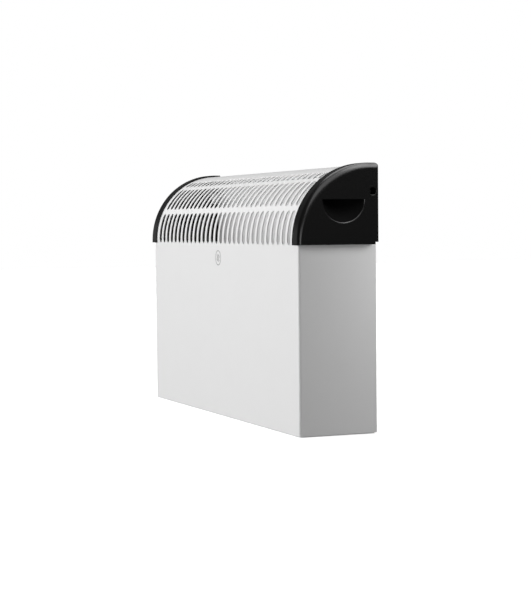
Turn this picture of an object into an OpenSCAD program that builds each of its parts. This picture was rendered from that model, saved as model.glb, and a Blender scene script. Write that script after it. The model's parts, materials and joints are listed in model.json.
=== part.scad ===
// Wall-hung fan convector heater: a folded steel casing whose curved top is an air grille,
// two moulded end caps with grip recesses, and finned elements above a cross-flow fan.
// X runs along the width, -Y is the front, +Z is up. The origin is under the middle of the box.

/* [Casing] */
// Width of the steel casing between its side faces
body_w = 646; // [620:2:700]
// Height of the steel sides, where the end caps begin
side_h = 280; // [275:1:310]
// Radius of the curved grille sheet, outside
sheet_r = 112; // [110:1:120]
// Thickness of the casing sheet
sheet_t = 1; // [0.8:0.1:1.2]
// Straight run of sheet above the steel sides, before the curve starts
front_rise = 5; // [4:0.5:8]
// Flat strip at the top, behind the curve
flat_top = 13.5; // [13:0.5:20]
// Bend radius of the vertical front corners
corner_r = 7; // [5:0.5:9]
// Width of the folded flanges
flange_w = 12; // [10:1:14]
// How far the back panel sits in from the rear edge
back_inset = 2; // [2:0.1:3]

/* [Grille] */
// Number of slot columns
slot_cols = 30; // [20:1:30]
// Distance between slot columns
slot_pitch = 20; // [18:0.5:20]
// Width of one slot
slot_w = 12; // [8:0.5:13]
// First and last end centre of each slot row, measured along the curve
slot_rows = [[1, 41], [61, 97], [115, 123]]; // [[1, 41], [61, 97], [115, 123]]

/* [End caps] */
// How far a cap stands proud of the steel side
cap_side = 10; // [8:0.5:14]
// How far a cap stands proud of the sheet, front and top
cap_over = 3; // [2.8:0.1:4]
// Width of the band that wraps over the grille
cap_band = 25; // [24:0.5:28]
// Wall of the moulding
cap_wall = 2.6; // [2.2:0.1:2.7]
// Rounding between the band and the side face
cap_round = 9; // [7:0.5:10]
// Depth of the panel sunk into the side face
cap_panel_depth = 0.6; // [0.3:0.1:0.8]
// Radius of the half-round grip recess
grip_r = 34; // [28:1:36]
// Depth of the grip recess at its flat top edge
grip_depth = 19; // [14:1:20]
// Height of the flat top edge of the grip recess
grip_z = 346; // [342:1:348]
// Distance of the grip's middle from the rear edge
grip_back = 56.6; // [55:0.2:60]
// Diameter of the screw well in the side face
well_d = 11; // [10:0.5:11.5]
// Distance of the screw well from the rear edge
well_back = 9.1; // [9:0.1:10]
// Height of the screw well
well_z = 358; // [355:1:359]

/* [Controls] */
// Width of the control tray's opening
tray_w = 62; // [60:1:68]
// Height of the control tray's opening
tray_h = 132; // [130:1:134]
// Height of the middle of the control tray
tray_z = 183; // [181:1:184]
// Depth of the control tray
tray_depth = 8; // [8:0.5:9]
// Diameter of the thermostat knob
knob_d = 40; // [34:1:42]
// Height of the thermostat knob above the tray floor
knob_h = 13.5; // [12:0.5:14]
// Angle from one rocker position to the other
rocker_travel = 16; // [12:1:18]

/* [Heating] */
// Diameter of the element tube
tube_d = 8.4; // [8:0.1:9]
// Diameter of the fins
fin_d = 26; // [22:1:28]
// Distance between fins
fin_pitch = 6; // [6:0.5:8]
// Height of the lower element
element_z = 165; // [160:1:170]
// Distance between the two elements
element_gap = 35; // [32:1:38]

/* [Fan] */
// Diameter of the cross-flow impeller
impeller_d = 56; // [50:1:58]
// Length of the cross-flow impeller
impeller_l = 300; // [280:2:304]
// Number of impeller blades
blade_count = 28; // [20:1:30]
// Height of the fan's axis
fan_z = 85; // [83:1:87]
// Diameter of the fan shaft
shaft_d = 5; // [5:0.5:6]
// Radial clearance of the shaft in its bushes
running_gap = 0.04; // [0.02:0.01:0.08]

/* [Hidden] */
$fn = 64;
eps = 0.01;

// Box and main planes
half_w = body_w / 2;
cap_r = sheet_r + cap_over;
depth = cap_r + flat_top;
rear_y = depth / 2;
arc_y = rear_y - flat_top;
arc_z = side_h + front_rise;
front_y = arc_y - sheet_r;
sheet_top = arc_z + sheet_r;
cap_out = half_w + cap_side;
band_in = cap_out - cap_band;
sheet_half = band_in + 8;
panel_y = rear_y - back_inset - sheet_t;
lip_y = panel_y - sheet_t;
duct_top = side_h - 18;
plate_z = 2 * sheet_t;
flange_gap = 2;
fold_gap = 0.2;

// Rear panel and its screws
panel_half = half_w - sheet_t - 1;
screw_r = 1.95;
screw_head_r = 3.6;
screw_head_h = 1.6;
screw_l = 8;
edge_screw_x = half_w - sheet_t - flange_w / 2;
edge_screw_z = [for (i = [0:4]) 20 + 58 * i];
row_screw_x = [-270, -90, 90, 270];
top_screw_z = sheet_top - sheet_t - flange_w / 2;
bottom_screw_z = plate_z + flange_w / 2;

// Keyholes, foot holes and cord gland
keyhole_x = 200;
keyhole_z = 236;
keyhole_r = 5;
keyhole_neck_r = 2.5;
keyhole_rise = 12;
foot_x = 270;
foot_y = 35;
foot_hole_r = 2.6;
gland_x = -290;
gland_z = 44;
gland_r = 8;
gland_bore_r = 4;

// Cap screws, and the ears of the back panel that take them
cap_screw_l = 14;
cap_screw_head_r = 4.2;
cap_screw_head_h = 2.4;
ear_x = cap_out - 20;
ear_t = 1.2;
ear_half = 9;
grip_y = rear_y - grip_back;
grip_ball_r = (grip_r * grip_r + grip_depth * grip_depth) / (2 * grip_depth);
grip_ball_x = cap_out - cap_panel_depth - grip_depth + grip_ball_r;
well_y = rear_y - well_back;

// Heater duct
left_plate_x = -250;
right_plate_x = 286;
shield_y = 46;
shield_t = 0.8;
shield_low = 40;
element_heights = [element_z, element_z + element_gap];
fin_t = 0.6;
fin_first = left_plate_x + 12;
fin_count = floor((right_plate_x - left_plate_x - 22) / fin_pitch);
hanger_fin = floor(fin_count / 2);
hanger_x = fin_first + (hanger_fin + 0.5) * fin_pitch + fin_t / 2 - sheet_t / 2;
insulator_r = 6;
insulator_flange_r = 9;
tube_r = tube_d / 2;
element_end = 12;
blade_l = 10;
blade_half_w = 3.1;
blade_t = 0.8;

// Fan and motor, along the shaft
fan_x0 = -180;
fan_x1 = fan_x0 + impeller_l;
fan_plate_x = [fan_x0 - 6, fan_x1 + 5];
fan_plate_half = shield_y - shield_t;
fan_plate_top = fan_z + 50;
scroll_r = impeller_d / 2 + 5;
scroll_sweep = 75;
bead_r = 1.5;
shaft_r = shaft_d / 2;
motor_x = fan_plate_x[1] + sheet_t;
strap_t = 1.5;
strap_x = [motor_x + 8, motor_x + 38.5];
stator_x = motor_x + 14;
stator_t = 20;
stator_half = 27;
stator_bore_r = 13.5;
rotor_gap = 0.4;
motor_bolt_r = 2;
motor_bolt_y = 22;
limb_z = fan_z - 54;
coil_wrap = 8;

// Control tray on the left side
tray_face = -half_w - 2;
tray_floor = tray_face + tray_depth;
tray_wall = 2;
tray_flange = 6;
bush_r = 5;
lamp_r = 4;
knob_z = tray_z + 39;
lamp_z = tray_z + 9;
rocker_z = [tray_z - 11, tray_z - 31, tray_z - 51];
rocker_arc_r = 13;
rocker_half_w = 6;
pivot_x = tray_floor + 5;
pin_r = 1.5;
rocker_gap = 0.35;
switch_half_l = 15;
switch_half_w = 8;
switch_depth = 22;
switch_tab = 8;
spindle_r = 3;
nut_r = 8;

// Terminal block and wires
block_x = -300;
block_y = 8;
block_z = 36;
block_pitch = 11;
block_first = block_x + block_pitch / 2;
block_depth = 18;
clamp_r = 1.8;
entry_r = 2;
entry_z = block_z - 12;
wire_r = 1.3;

// ---- general shapes ----

module block(lo, hi) {
    translate(lo) cube(hi - lo);
}

module rod_x(x0, x1, r, y, z) {
    translate([x0, y, z]) rotate([0, 90, 0]) cylinder(r = r, h = x1 - x0);
}

module rod_y(y0, y1, r, x, z) {
    translate([x, y0, z]) rotate([-90, 0, 0]) cylinder(r = r, h = y1 - y0);
}

module rod_z(z0, z1, r, x, y) {
    translate([x, y, z0]) cylinder(r = r, h = z1 - z0);
}

// Turns a profile of (radius, x) about an X axis at y, z; angle 0 is the front and 90 is up
module around_x(y, z, a0, a1) {
    translate([0, y, z]) rotate([-90, 0, 0]) rotate([0, 90, 0])
        rotate([0, 0, -a1]) rotate_extrude(angle = a1 - a0) children();
}

// Extrudes a plan of (y, z) along X
module along_x(x0, x1) {
    translate([x0, 0, 0]) rotate([90, 0, 90]) linear_extrude(height = x1 - x0) children();
}

function arc_angle(s) = s / sheet_r * 180 / PI;

// Pan-head screw on an axis through the origin, head above z = 0
module pan_screw(shank_r, shank_l, head_r, head_h) {
    difference() {
        union() {
            translate([0, 0, -shank_l]) cylinder(r = shank_r, h = shank_l);
            cylinder(r = head_r, h = head_h);
        }
        for (a = [0, 90])
            rotate([0, 0, a]) translate([-head_r * 0.55, -0.45, head_h * 0.35])
                cube([head_r * 1.1, 0.9, head_h]);
    }
}

// ---- casing ----

// Plan of the folded casing, grown inwards by inset
module casing_plan(inset) {
    r = corner_r - inset;
    x = half_w - corner_r;
    y = front_y + corner_r;
    translate([-half_w + inset, y]) square([body_w - 2 * inset, rear_y - y + inset]);
    translate([-x, front_y + inset]) square([2 * x, corner_r]);
    for (side = [-1, 1])
        translate([side * x, y]) circle(r = r);
}

// Round-ended slot through the curved sheet, cut square to the sheet at the slot's middle
module slot_cutter(x, row) {
    half = slot_w / 2;
    run = sheet_r * sin(arc_angle((row[1] - row[0]) / 2));
    translate([x, arc_y, arc_z]) rotate([90 - arc_angle((row[0] + row[1]) / 2), 0, 0])
        translate([0, 0, sheet_r - 6]) linear_extrude(height = 9) {
            square([slot_w, 2 * run], center = true);
            for (side = [-1, 1]) translate([0, side * run]) circle(r = half);
        }
}

module casing() {
    color("whitesmoke") difference() {
        union() {
            linear_extrude(height = side_h) difference() {
                casing_plan(0);
                casing_plan(sheet_t);
            }
            block([-sheet_half, front_y, side_h - 1], [sheet_half, front_y + sheet_t, arc_z]);
            around_x(arc_y, arc_z, 0, 90)
                translate([sheet_r - sheet_t, -sheet_half]) square([sheet_t, 2 * sheet_half]);
            block([-sheet_half, arc_y, sheet_top - sheet_t], [sheet_half, rear_y, sheet_top]);
            // folded flanges: rear of both sides, bottom of the front and sides, rear lip of the top
            for (side = [0, 1]) mirror([side, 0, 0]) {
                block([half_w - sheet_t - flange_w, lip_y, plate_z],
                    [half_w - sheet_t + eps, panel_y, side_h - flange_gap]);
                block([half_w - flange_w, front_y + corner_r, 0],
                    [half_w - sheet_t + eps, lip_y, sheet_t]);
            }
            block([-half_w + corner_r, front_y + sheet_t - eps, 0],
                [half_w - corner_r, front_y + flange_w, sheet_t]);
            block([-band_in + 2 * flange_gap, lip_y, sheet_top - sheet_t - flange_w],
                [band_in - 2 * flange_gap, panel_y, sheet_top - sheet_t + eps]);
        }
        for (i = [0:slot_cols - 1], row = slot_rows)
            slot_cutter((i - (slot_cols - 1) / 2) * slot_pitch, row);
        for (z = edge_screw_z, side = [-1, 1])
            rod_y(lip_y - 1, panel_y + 1, screw_r, side * edge_screw_x, z);
        for (x = row_screw_x)
            rod_y(lip_y - 1, panel_y + 1, screw_r, x, top_screw_z);
        block([-half_w - 1, -tray_w / 2 - tray_wall, tray_z - tray_h / 2 - tray_wall],
            [-half_w + sheet_t + 1, tray_w / 2 + tray_wall, tray_z + tray_h / 2 + tray_wall]);
    }
}

// ---- back panel, bottom and their fasteners ----

module keyhole(x) {
    rod_y(panel_y - 1, rear_y, keyhole_r, x, keyhole_z);
    rod_y(panel_y - 1, rear_y, keyhole_neck_r, x, keyhole_z + keyhole_rise);
    block([x - keyhole_neck_r, panel_y - 1, keyhole_z],
        [x + keyhole_neck_r, rear_y, keyhole_z + keyhole_rise]);
}

module back_panel() {
    color("lightgray") difference() {
        union() {
            block([-panel_half, panel_y, plate_z], [panel_half, panel_y + sheet_t, sheet_top - sheet_t]);
            // ears that take the cap screws
            for (side = [0, 1]) mirror([side, 0, 0])
                block([ear_x - ear_t, well_y - ear_half, well_z - ear_half],
                    [ear_x, panel_y + eps, well_z + ear_half]);
        }
        for (z = edge_screw_z, side = [-1, 1])
            rod_y(panel_y - 1, rear_y, screw_r, side * edge_screw_x, z);
        for (x = row_screw_x, z = [bottom_screw_z, top_screw_z])
            rod_y(panel_y - 1, rear_y, screw_r, x, z);
        for (side = [-1, 1]) {
            keyhole(side * keyhole_x);
            rod_x(side * ear_x - 3, side * ear_x + 3, screw_r, well_y, well_z);
        }
        rod_y(panel_y - 1, rear_y, gland_r, gland_x, gland_z);
    }
}

module bottom_grille() {
    front = front_y + sheet_t + fold_gap;
    half = half_w - sheet_t - fold_gap;
    color("lightgray") difference() {
        union() {
            block([-half + corner_r, front, sheet_t], [half - corner_r, front + corner_r, plate_z]);
            block([-half, front + corner_r, sheet_t], [half, panel_y, plate_z]);
            block([-panel_half + flange_w, lip_y, plate_z - eps],
                [panel_half - flange_w, panel_y, plate_z + flange_w]);
        }
        // intake slots
        for (i = [-12:12]) {
            x = 10 + slot_pitch * i;
            block([x - 4, -36, 0], [x + 4, 36, plate_z + 1]);
            for (side = [-1, 1]) rod_z(0, plate_z + 1, 4, x, side * 36);
        }
        for (sx = [-1, 1], sy = [-1, 1])
            rod_z(0, plate_z + 1, foot_hole_r, sx * foot_x, sy * foot_y);
        for (x = row_screw_x)
            rod_y(lip_y - 1, panel_y + 1, screw_r, x, bottom_screw_z);
    }
}

module back_panel_screws() {
    color("silver") {
        for (z = edge_screw_z, side = [-1, 1])
            translate([side * edge_screw_x, panel_y + sheet_t, z]) rotate([-90, 0, 0])
                pan_screw(screw_r, screw_l, screw_head_r, screw_head_h);
        for (x = row_screw_x, z = [bottom_screw_z, top_screw_z])
            translate([x, panel_y + sheet_t, z]) rotate([-90, 0, 0])
                pan_screw(screw_r, screw_l, screw_head_r, screw_head_h);
    }
}

module cord_gland() {
    color("dimgray") difference() {
        union() {
            rod_y(panel_y - 11, panel_y + sheet_t, gland_r, gland_x, gland_z);
            rod_y(panel_y - 2, panel_y, gland_r + 2, gland_x, gland_z);
            rod_y(panel_y + sheet_t, rear_y - 0.2, gland_r + 2.5, gland_x, gland_z);
        }
        rod_y(panel_y - 12, rear_y + 1, gland_bore_r, gland_x, gland_z);
    }
}

// ---- end caps ----

// Half section of a cap as (radius, x): a band that rounds over into the side face
module rim_section(r, x0, x1, round_r) {
    translate([0, x0]) square([r, x1 - round_r - x0]);
    translate([0, x0]) square([r - round_r, x1 - x0]);
    translate([r - round_r, x1 - round_r]) circle(r = round_r);
}

// Solid with the side outline of a cap: straight front, quarter round, flat top
module cap_form(r, x0, x1, round_r, low_z, back_y) {
    around_x(arc_y, arc_z, 0, 90) intersection() {
        rim_section(r, x0, x1, round_r);
        translate([0, x0]) square([r, x1 - x0]);
    }
    // front strip below the curve
    translate([0, arc_y, low_z]) linear_extrude(height = arc_z - low_z)
        intersection() {
            rotate([0, 0, -90]) rim_section(r, x0, x1, round_r);
            translate([x0, -r]) square([x1 - x0, r]);
        }
    // flat top and rear
    translate([0, back_y, arc_z]) rotate([90, 0, 0]) linear_extrude(height = back_y - arc_y)
        intersection() {
            mirror([0, 1]) rotate([0, 0, -90]) rim_section(r, x0, x1, round_r);
            translate([x0, 0]) square([x1 - x0, r]);
        }
    block([x0, arc_y - eps, low_z], [x1, back_y, arc_z + eps]);
}

module grip_ball(grow) {
    intersection() {
        translate([grip_ball_x, grip_y, grip_z]) sphere(r = grip_ball_r + grow);
        block([cap_out - 40, grip_y - 60, grip_z - 60], [cap_out + 60, grip_y + 60, grip_z + grow]);
    }
}

module end_cap() {
    well_r = well_d / 2;
    inner_x = cap_out - cap_wall - cap_panel_depth;
    color("#1c1c1c") difference() {
        union() {
            difference() {
                cap_form(cap_r, band_in, cap_out, cap_round, side_h, rear_y);
                // hollow that the sheet and the back panel slide into
                cap_form(sheet_r + 0.3, band_in - 1, inner_x, cap_round - cap_wall,
                    side_h + cap_wall, rear_y - cap_wall);
                block([band_in - 1, front_y - 0.3, side_h - 1],
                    [sheet_half + 0.5, front_y + sheet_t + 0.4, side_h + cap_wall + eps]);
                // rear corner relief at the bottom
                block([band_in - 1, rear_y - 5, side_h - 1], [cap_out + 1, rear_y + 1, side_h + 3.5]);
                // shallow panel of the side face
                cap_form(cap_r - cap_round, cap_out - cap_panel_depth, cap_out + 1, 0.2,
                    side_h + cap_round / 2, rear_y - 4);
            }
            // wall of the grip recess and of the screw well
            intersection() {
                grip_ball(cap_wall);
                block([band_in, front_y, side_h], [inner_x + eps, rear_y, sheet_top]);
            }
            rod_x(ear_x, inner_x + eps, well_r + 1.8, well_y, well_z);
        }
        // slot for the back panel's edge
        block([band_in - 1, panel_y - 0.4, side_h - 1], [panel_half + 0.6, rear_y + 1, sheet_top + 0.3]);
        grip_ball(0);
        rod_x(ear_x + 3, cap_out + 1, well_r, well_y, well_z);
        rod_x(ear_x - 1, ear_x + 4, screw_r + 0.3, well_y, well_z);
    }
}

module right_end_cap() {
    end_cap();
}

module left_end_cap() {
    mirror([1, 0, 0]) end_cap();
}

module cap_screws() {
    color("silver")
        for (side = [-1, 1])
            translate([side * (ear_x + 3), well_y, well_z]) rotate([0, side * 90, 0])
                pan_screw(screw_r, cap_screw_l, cap_screw_head_r, cap_screw_head_h);
}

// ---- heater duct ----

module heat_shield(side) {
    y0 = side < 0 ? -shield_y : shield_y - shield_t;
    fold_y0 = side < 0 ? -shield_y : shield_y - 6;
    color("silver") {
        block([left_plate_x, y0, shield_low], [right_plate_x, y0 + shield_t, duct_top - 4]);
        block([left_plate_x, fold_y0, shield_low], [right_plate_x, fold_y0 + 6, shield_low + shield_t]);
    }
}

module front_heat_shield() {
    heat_shield(-1);
}

module rear_heat_shield() {
    heat_shield(1);
}

// Upright plate with a top flange that covers the space between it and the casing side
module support_plate(x0, flange_x0, flange_x1) {
    y0 = front_y + sheet_t + fold_gap;
    y1 = lip_y - 0.3;
    color("silver") difference() {
        union() {
            block([x0, y0, plate_z], [x0 + sheet_t, y1, duct_top]);
            block([flange_x0, y0 + corner_r, duct_top - sheet_t], [flange_x1, y1, duct_top]);
        }
        for (z = element_heights)
            rod_x(x0 - 1, x0 + 2, insulator_r, 0, z);
    }
}

module partition_plate() {
    support_plate(left_plate_x - sheet_t, -half_w + sheet_t + fold_gap, left_plate_x);
}

module right_support() {
    support_plate(right_plate_x, right_plate_x, half_w - sheet_t - fold_gap);
}

// Tube with ring fins, turned in one piece; no fin stands where the hanger grips the tube
module heating_element(z) {
    x0 = left_plate_x - element_end;
    x1 = right_plate_x + element_end;
    fin_r = fin_d / 2;
    comb = [for (i = [0:fin_count - 1]) let (x = fin_first + i * fin_pitch)
        each [[tube_r, x], [fin_r, x], [fin_r, x + fin_t], [tube_r, x + fin_t]]];
    color("gainsboro") translate([0, 0, z]) rotate([0, 90, 0])
        rotate_extrude() polygon(concat([[0, x0], [tube_r, x0]], comb, [[tube_r, x1], [0, x1]]));
}

module lower_heating_element() {
    heating_element(element_heights[0]);
}

module upper_heating_element() {
    heating_element(element_heights[1]);
}

module element_insulators() {
    color("white")
        for (z = element_heights) difference() {
            union() {
                rod_x(left_plate_x - 8, left_plate_x + 4, insulator_r, 0, z);
                rod_x(left_plate_x - 8, left_plate_x - sheet_t, insulator_flange_r, 0, z);
                rod_x(right_plate_x - 3, right_plate_x + 8, insulator_r, 0, z);
                rod_x(right_plate_x + sheet_t, right_plate_x + 8, insulator_flange_r, 0, z);
            }
            rod_x(left_plate_x - 9, right_plate_x + 9, tube_r, 0, z);
        }
}

module element_terminals() {
    color("goldenrod")
        for (z = element_heights)
            for (x = [left_plate_x - element_end - blade_l, right_plate_x + element_end])
                block([x, -blade_half_w, z - blade_t / 2], [x + blade_l, blade_half_w, z + blade_t / 2]);
}

module element_hanger() {
    half = shield_y - shield_t;
    low = element_z - 26;
    high = element_z + element_gap + 26;
    color("silver") difference() {
        block([hanger_x, -half, low], [hanger_x + sheet_t, half, high]);
        for (z = element_heights)
            rod_x(hanger_x - 1, hanger_x + 2, tube_r, 0, z);
        for (side = [-1, 1])
            block([hanger_x - 1, side * 28 - 10, low + 8], [hanger_x + 2, side * 28 + 10, high - 8]);
    }
}

module thermal_cutout() {
    x = left_plate_x;
    color("saddlebrown") union() {
        rod_x(x, x + 6, 8, 24, duct_top - 30);
        rod_x(x + 6, x + 9, 6.5, 24, duct_top - 30);
        block([x, 12, duct_top - 33], [x + sheet_t, 36, duct_top - 27]);
    }
}

// ---- fan ----

module fan_rear_guide() {
    wide = 2 * fan_plate_half;
    color("silver") along_x(fan_plate_x[0] + sheet_t, fan_plate_x[1]) {
        translate([scroll_r, fan_z]) square([sheet_t, fan_plate_top - fan_z]);
        translate([scroll_r, fan_plate_top - sheet_t]) square([fan_plate_half - scroll_r, sheet_t]);
        // scroll that carries on under the impeller
        translate([0, fan_z]) difference() {
            circle(r = scroll_r + sheet_t);
            circle(r = scroll_r);
            translate([-wide, 0]) square([2 * wide, wide]);
            rotate([0, 0, -scroll_sweep]) translate([-wide, -2 * wide]) square(2 * wide);
        }
    }
}

module fan_tongue() {
    color("silver") along_x(fan_plate_x[0] + sheet_t, fan_plate_x[1]) {
        translate([-scroll_r - sheet_t, fan_z + 12]) square([sheet_t, fan_plate_top - fan_z - 12]);
        translate([-scroll_r - sheet_t / 2, fan_z + 12]) circle(r = bead_r);
        translate([-fan_plate_half, fan_plate_top - sheet_t]) square([fan_plate_half - scroll_r, sheet_t]);
    }
}

module fan_end_plates() {
    color("silver") difference() {
        for (x = fan_plate_x)
            block([x, -fan_plate_half, fan_z - 35], [x + sheet_t, fan_plate_half, fan_plate_top]);
        rod_x(fan_plate_x[0] - 1, fan_plate_x[0] + 2, 8, 0, fan_z);
        rod_x(fan_plate_x[1] - 1, fan_plate_x[1] + 2, 6, 0, fan_z);
        for (side = [-1, 1])
            rod_x(fan_plate_x[1] - 1, fan_plate_x[1] + 2, motor_bolt_r, side * motor_bolt_y, fan_z);
    }
}

module fan_bearing() {
    x = fan_plate_x[0];
    color("#303030") difference() {
        union() {
            rod_x(x - 5, x + 2, 8, 0, fan_z);
            rod_x(x - 5, x, 10, 0, fan_z);
        }
        rod_x(x - 6, x + 3, shaft_r + running_gap, 0, fan_z);
    }
}

module fan_impeller() {
    r = impeller_d / 2;
    disc_t = 1.5;
    color("#2b2b2b") translate([fan_x0, 0, fan_z]) rotate([0, 90, 0]) difference() {
        union() {
            linear_extrude(height = impeller_l)
                for (i = [0:blade_count - 1])
                    rotate([0, 0, i * 360 / blade_count]) translate([r - 4.6, 0]) rotate([0, 0, 35])
                        square([8.4, 0.9], center = true);
            for (i = [0:3])
                translate([0, 0, i * (impeller_l - disc_t) / 3]) cylinder(r = r, h = disc_t);
            for (z = [0, impeller_l - 8])
                translate([0, 0, z]) cylinder(r = 7, h = 8);
        }
        translate([0, 0, -1]) cylinder(r = shaft_r, h = impeller_l + 2);
    }
}

module fan_shaft() {
    color("silver") rod_x(fan_plate_x[0] - 8, strap_x[1] + 6, shaft_r, 0, fan_z);
}

module motor_rotor() {
    color("gray") difference() {
        rod_x(stator_x, stator_x + stator_t, stator_bore_r - rotor_gap, 0, fan_z);
        rod_x(stator_x - 1, stator_x + stator_t + 1, shaft_r, 0, fan_z);
    }
}

module motor_stator() {
    leg = 12;
    color("darkgray") difference() {
        union() {
            block([stator_x, -stator_half, fan_z - 22], [stator_x + stator_t, stator_half, fan_z + 22]);
            for (y = [-stator_half, stator_half - leg])
                block([stator_x, y, limb_z], [stator_x + stator_t, y + leg, fan_z - 21]);
            block([stator_x, -stator_half, limb_z], [stator_x + stator_t, stator_half, limb_z + 10]);
        }
        rod_x(stator_x - 1, stator_x + stator_t + 1, stator_bore_r, 0, fan_z);
        for (side = [-1, 1])
            rod_x(stator_x - 1, stator_x + stator_t + 1, motor_bolt_r, side * motor_bolt_y, fan_z);
    }
}

module motor_coil() {
    color("peru") difference() {
        block([stator_x - coil_wrap, -14, limb_z - coil_wrap],
            [stator_x + stator_t + coil_wrap, 14, limb_z + 10 + coil_wrap]);
        block([stator_x, -15, limb_z], [stator_x + stator_t, 15, limb_z + 10]);
    }
}

module motor_straps() {
    color("silver") difference() {
        for (x = strap_x)
            block([x, -stator_half, fan_z - 8], [x + strap_t, stator_half, fan_z + 8]);
        rod_x(motor_x, strap_x[1] + 4, 5, 0, fan_z);
        for (side = [-1, 1])
            rod_x(motor_x, strap_x[1] + 4, motor_bolt_r, side * motor_bolt_y, fan_z);
    }
}

module motor_bushes() {
    color("goldenrod")
        for (x = strap_x) difference() {
            rod_x(x - 3, x + strap_t + 3, 5, 0, fan_z);
            rod_x(x - 4, x + strap_t + 4, shaft_r + running_gap, 0, fan_z);
        }
}

module motor_bolts() {
    color("silver")
        for (side = [-1, 1]) {
            rod_x(fan_plate_x[1] - 2, strap_x[1] + 5, motor_bolt_r, side * motor_bolt_y, fan_z);
            rod_x(fan_plate_x[1] - 2, fan_plate_x[1], 3.6, side * motor_bolt_y, fan_z);
            rod_x(strap_x[1] + strap_t, strap_x[1] + 4, 3.6, side * motor_bolt_y, fan_z);
        }
}

// ---- controls ----

module tray_block(x0, x1, grow) {
    block([x0, -tray_w / 2 - grow, tray_z - tray_h / 2 - grow],
        [x1, tray_w / 2 + grow, tray_z + tray_h / 2 + grow]);
}

module control_tray() {
    color("#1c1c1c") difference() {
        union() {
            tray_block(tray_face, -half_w, tray_flange);
            tray_block(-half_w - eps, tray_floor + tray_wall, tray_wall);
        }
        tray_block(tray_face - 1, tray_floor, 0);
        rod_x(tray_floor - 1, tray_floor + 4, bush_r, 0, knob_z);
        rod_x(tray_floor - 1, tray_floor + 4, lamp_r, 0, lamp_z);
        for (z = rocker_z)
            block([tray_floor - 1, -switch_half_l, z - switch_half_w],
                [tray_floor + 4, switch_half_l, z + switch_half_w]);
    }
}

module thermostat_body() {
    x = tray_floor + tray_wall;
    color("white") difference() {
        union() {
            block([x, -15, knob_z - 15], [x + 20, 15, knob_z + 15]);
            rod_x(tray_floor - 3.5, x + 1, bush_r, 0, knob_z);
        }
        rod_x(tray_floor - 5, x + 14, spindle_r + running_gap, 0, knob_z);
    }
}

module thermostat_nut() {
    color("silver") difference() {
        translate([tray_floor - 2.5, 0, knob_z]) rotate([0, 90, 0]) cylinder(r = nut_r, h = 2.5, $fn = 6);
        rod_x(tray_floor - 4, tray_floor + 1, bush_r, 0, knob_z);
    }
}

module thermostat_spindle() {
    color("silver") rod_x(tray_floor - 10, tray_floor + tray_wall + 12, spindle_r, 0, knob_z);
}

module thermostat_knob() {
    r = knob_d / 2;
    x0 = tray_floor - knob_h;
    skirt = 4;
    color("#262626") difference() {
        union() {
            // skirt, tapered grip and finger bar
            translate([tray_floor - 0.5, 0, knob_z]) rotate([0, -90, 0]) cylinder(r = r, h = skirt);
            translate([tray_floor - 0.5 - skirt, 0, knob_z]) rotate([0, -90, 0])
                cylinder(r1 = r - 2, r2 = r - 4, h = knob_h - skirt - 3);
            block([x0, -3.5, knob_z - r + 5], [tray_floor - skirt, 3.5, knob_z + r - 5]);
        }
        rod_x(tray_floor - 3.8, tray_floor + 1, nut_r + 1.5, 0, knob_z);
        rod_x(tray_floor - 10, tray_floor + 1, spindle_r, 0, knob_z);
        // pointer groove
        block([x0 - 1, -0.7, knob_z + 5], [x0 + 0.6, 0.7, knob_z + r - 4]);
    }
}

module switch_bodies() {
    color("#303030")
        for (z = rocker_z) difference() {
            union() {
                block([tray_floor - 1.5, -switch_half_l - 2, z - switch_half_w - 1.5],
                    [tray_floor, switch_half_l + 2, z + switch_half_w + 1.5]);
                block([tray_floor - eps, -switch_half_l, z - switch_half_w],
                    [tray_floor + switch_depth, switch_half_l, z + switch_half_w]);
                for (y = [-8, 0, 8])
                    block([tray_floor + switch_depth - eps, y - blade_t / 2, z - blade_half_w],
                        [tray_floor + switch_depth + switch_tab, y + blade_t / 2, z + blade_half_w]);
            }
            rod_z(z - rocker_half_w - rocker_gap, z + rocker_half_w + rocker_gap,
                rocker_arc_r + rocker_gap, pivot_x, 0);
            rod_z(z - rocker_half_w - 1.5, z + rocker_half_w + 1.5, pin_r, pivot_x, 0);
        }
}

module switch_pins() {
    color("silver")
        for (z = rocker_z)
            rod_z(z - rocker_half_w - 1.5, z + rocker_half_w + 1.5, pin_r, pivot_x, 0);
}

// Rocker resting in its off position, one end pressed in
module rocker(z) {
    tilt = rocker_travel / 2;
    top = pivot_x - tray_floor + 4;
    color("#262626") translate([pivot_x, 0, z]) rotate([0, 0, -tilt]) difference() {
        translate([0, 0, -rocker_half_w]) cylinder(r = rocker_arc_r, h = 2 * rocker_half_w);
        // two faces that meet in a shallow valley
        for (side = [-1, 1])
            rotate([0, 0, -side * tilt]) translate([-30 - top, side > 0 ? -30 : -eps, -20])
                cube([30, 30 + eps, 40]);
        // underside
        translate([3, -30, -20]) cube([30, 60, 40]);
        translate([0, 0, -20]) cylinder(r = pin_r + running_gap, h = 40);
    }
}

module low_heat_rocker() {
    rocker(rocker_z[0]);
}

module high_heat_rocker() {
    rocker(rocker_z[1]);
}

module fan_rocker() {
    rocker(rocker_z[2]);
}

module indicator_lamp() {
    color("red") union() {
        rod_x(tray_floor - 1.2, tray_floor, 5.5, 0, lamp_z);
        rod_x(tray_floor - eps, tray_floor + 14, lamp_r, 0, lamp_z);
        intersection() {
            translate([tray_floor + 3, 0, lamp_z]) sphere(r = 6);
            rod_x(tray_floor - 4, tray_floor - 1, 5, 0, lamp_z);
        }
    }
}

// ---- wiring ----

module terminal_block() {
    color("ivory") difference() {
        block([block_x, block_y, plate_z], [block_x + 4 * block_pitch, block_y + block_depth, block_z]);
        for (i = [0:3]) {
            x = block_first + block_pitch * i;
            rod_y(block_y - 1, block_y + block_depth + 1, entry_r, x, entry_z);
            rod_z(entry_z, block_z + 1, clamp_r, x, block_y + block_depth / 2);
        }
    }
}

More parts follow.
